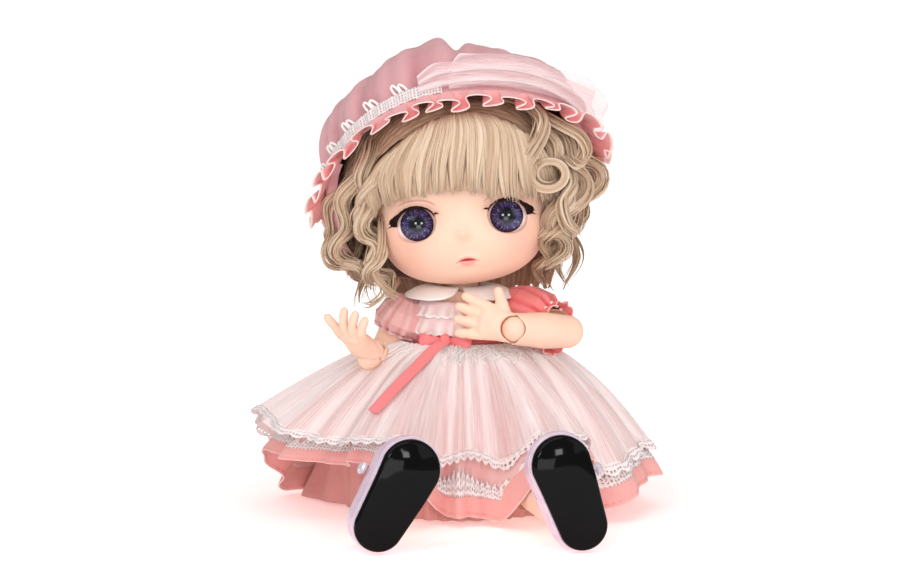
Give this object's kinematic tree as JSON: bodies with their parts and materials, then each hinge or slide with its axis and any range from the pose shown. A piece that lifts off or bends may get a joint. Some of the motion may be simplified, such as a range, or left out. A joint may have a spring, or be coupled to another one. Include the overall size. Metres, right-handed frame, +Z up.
{
  "type": "seated ball-jointed doll",
  "caption": "Seated ball-jointed doll with a wig, mob cap, gathered dress and strap shoes; its head, arms, hands, legs and feet turn on strung balls.",
  "frame": {"origin": "middle of the flat seat, on the surface that the doll sits on, under the trunk's axis", "axes": "+Z up; the doll faces -Y, and its left hand is towards +X"},
  "size_m": [0.1439, 0.1348, 0.1595],
  "materials": {
    "skin": "satin",
    "hair": "satin",
    "eye_white": "gloss",
    "iris": "polished",
    "lash": "matte",
    "rose_cloth": "matte",
    "pink_cloth": "matte",
    "tulle": "matte",
    "white_cloth": "matte",
    "coral_ribbon": "satin",
    "shoe_leather": "satin",
    "shoe_rubber": "gloss",
    "crystal": "polished",
    "steel": "satin",
    "elastic": "matte"
  },
  "bodies": {
    "torso": {"torso": "skin", "bodice": "pink_cloth", "bib": "white_cloth", "collar_right": "white_cloth", "collar_left": "white_cloth", "sash": "coral_ribbon", "bow": "coral_ribbon", "ribbon_tail": "coral_ribbon", "skirt": "pink_cloth", "hem_band": "rose_cloth", "overlay": "tulle", "arm_elastic": "elastic", "leg_elastic": "elastic"},
    "neck": {"neck": "skin"},
    "neck_hook": {"neck_hook": "steel"},
    "head": {"head_shell": "skin", "head_cap": "skin", "wig_cap": "hair", "fringe": "hair", "hair_back": "hair", "hair_right": "hair", "hair_left": "hair", "cap_crown": "rose_cloth", "cap_band": "white_cloth", "cap_ruffle": "pink_cloth", "cap_ribbon": "tulle", "eye_right": "eye_white", "eye_left": "eye_white", "iris_right": "iris", "iris_left": "iris", "lash_right": "lash", "lash_left": "lash"},
    "shoulder_ball_right": {"shoulder_ball_right": "skin"},
    "upper_arm_right": {"upper_arm_right": "skin", "sleeve_right": "coral_ribbon"},
    "forearm_right": {"forearm_right": "skin"},
    "wrist_ball_right": {"wrist_ball_right": "skin"},
    "hand_right": {"hand_right": "skin"},
    "hip_ball_right": {"hip_ball_right": "skin"},
    "thigh_right": {"thigh_right": "skin"},
    "shin_right": {"shin_right": "skin"},
    "foot_right": {"foot_right": "skin", "shoe_upper_right": "shoe_leather", "shoe_sole_right": "shoe_rubber", "shoe_strap_right": "shoe_leather", "shoe_ornament_right": "crystal"},
    "shoulder_ball_left": {"shoulder_ball_left": "skin"},
    "upper_arm_left": {"upper_arm_left": "skin", "sleeve_left": "coral_ribbon"},
    "forearm_left": {"forearm_left": "skin"},
    "wrist_ball_left": {"wrist_ball_left": "skin"},
    "hand_left": {"hand_left": "skin"},
    "hip_ball_left": {"hip_ball_left": "skin"},
    "thigh_left": {"thigh_left": "skin"},
    "shin_left": {"shin_left": "skin"},
    "foot_left": {"foot_left": "skin", "shoe_upper_left": "shoe_leather", "shoe_sole_left": "shoe_rubber", "shoe_strap_left": "shoe_leather", "shoe_ornament_left": "crystal"}
  },
  "joints": [
    {"name": "neck_lean", "type": "hinge", "parent": "torso", "child": "neck", "pos_m": [0, 0.001, 0.073], "axis": [0, 1, 0], "range_deg": [-6, 8]},
    {"name": "head_nod", "type": "hinge", "parent": "neck", "child": "neck_hook", "pos_m": [0.002, 0.001, 0.086], "axis": [1, 0, 0], "range_deg": [-8, 8], "deforming": ["leg_elastic"]},
    {"name": "head_turn", "type": "hinge", "parent": "neck_hook", "child": "head", "pos_m": [0.002, 0.001, 0.086], "axis": [-0.0966, 0.1392, 0.9855], "range_deg": [-60, 60], "deforming": ["hair_right", "hair_left", "hair_back"]},
    {"name": "shoulder_swing_right", "type": "hinge", "parent": "torso", "child": "shoulder_ball_right", "pos_m": [-0.02, 0, 0.066], "axis": [1, 0, 0], "range_deg": [-60, 40], "deforming": ["arm_elastic"]},
    {"name": "shoulder_raise_right", "type": "hinge", "parent": "shoulder_ball_right", "child": "upper_arm_right", "pos_m": [-0.02, 0, 0.066], "axis": [0, 1, 0], "range_deg": [-2, 70], "deforming": ["sleeve_right"]},
    {"name": "elbow_bend_right", "type": "hinge", "parent": "upper_arm_right", "child": "forearm_right", "pos_m": [-0.02766, 0.00234, 0.04713], "axis": [-0.871, 0.298, 0.3906], "range_deg": [-100, 14]},
    {"name": "wrist_sway_right", "type": "hinge", "parent": "forearm_right", "child": "wrist_ball_right", "pos_m": [-0.03039, -0.01711, 0.05587], "axis": [0.2818, -0.8667, -0.4116], "range_deg": [-15, 16]},
    {"name": "wrist_flex_right", "type": "hinge", "parent": "wrist_ball_right", "child": "hand_right", "pos_m": [-0.03039, -0.01711, 0.05587], "axis": [0.7846, -0.0388, 0.6188], "range_deg": [-10, 30]},
    {"name": "hip_swing_right", "type": "hinge", "parent": "torso", "child": "hip_ball_right", "pos_m": [-0.0125, -0.005, 0.014], "axis": [-1, 0, 0], "range_deg": [-90, 20], "deforming": ["skirt", "hem_band", "overlay", "ribbon_tail"]},
    {"name": "hip_spread_right", "type": "hinge", "parent": "hip_ball_right", "child": "thigh_right", "pos_m": [-0.0125, -0.005, 0.014], "axis": [0, 0, -1], "range_deg": [-2, 25]},
    {"name": "knee_bend_right", "type": "hinge", "parent": "thigh_right", "child": "shin_right", "pos_m": [-0.02129, -0.03781, 0.01252], "axis": [0.9848, -0.1736, 0], "range_deg": [0, 105]},
    {"name": "ankle_bend_right", "type": "hinge", "parent": "shin_right", "child": "foot_right", "pos_m": [-0.02702, -0.0703, 0.01165], "axis": [0.9848, -0.1736, 0], "range_deg": [-15, 20]},
    {"name": "shoulder_swing_left", "type": "hinge", "parent": "torso", "child": "shoulder_ball_left", "pos_m": [0.02, 0, 0.066], "axis": [1, 0, 0], "range_deg": [-8, 12]},
    {"name": "shoulder_raise_left", "type": "hinge", "parent": "shoulder_ball_left", "child": "upper_arm_left", "pos_m": [0.02, 0, 0.066], "axis": [0, -1, 0], "range_deg": [-22, 40], "deforming": ["sleeve_left"]},
    {"name": "elbow_bend_left", "type": "hinge", "parent": "upper_arm_left", "child": "forearm_left", "pos_m": [0.036, -0.0125, 0.06315], "axis": [-0.1577, 0.0236, -0.9872], "range_deg": [-110, 2]},
    {"name": "wrist_sway_left", "type": "hinge", "parent": "forearm_left", "child": "wrist_ball_left", "pos_m": [0.0179, -0.02381, 0.06577], "axis": [-0.0426, -0.9858, 0.1622], "range_deg": [-10, 25]},
    {"name": "wrist_flex_left", "type": "hinge", "parent": "wrist_ball_left", "child": "hand_left", "pos_m": [0.0179, -0.02381, 0.06577], "axis": [0.2688, 0.145, 0.9522], "range_deg": [-5, 30]},
    {"name": "hip_swing_left", "type": "hinge", "parent": "torso", "child": "hip_ball_left", "pos_m": [0.0125, -0.005, 0.014], "axis": [-1, 0, 0], "range_deg": [-90, 20]},
    {"name": "hip_spread_left", "type": "hinge", "parent": "hip_ball_left", "child": "thigh_left", "pos_m": [0.0125, -0.005, 0.014], "axis": [0, 0, 1], "range_deg": [-2, 25]},
    {"name": "knee_bend_left", "type": "hinge", "parent": "thigh_left", "child": "shin_left", "pos_m": [0.02632, -0.03603, 0.01252], "axis": [0.9511, 0.309, 0], "range_deg": [0, 105]},
    {"name": "ankle_bend_left", "type": "hinge", "parent": "shin_left", "child": "foot_left", "pos_m": [0.03651, -0.06741, 0.01165], "axis": [0.9511, 0.309, 0], "range_deg": [-15, 20]}
  ]
}
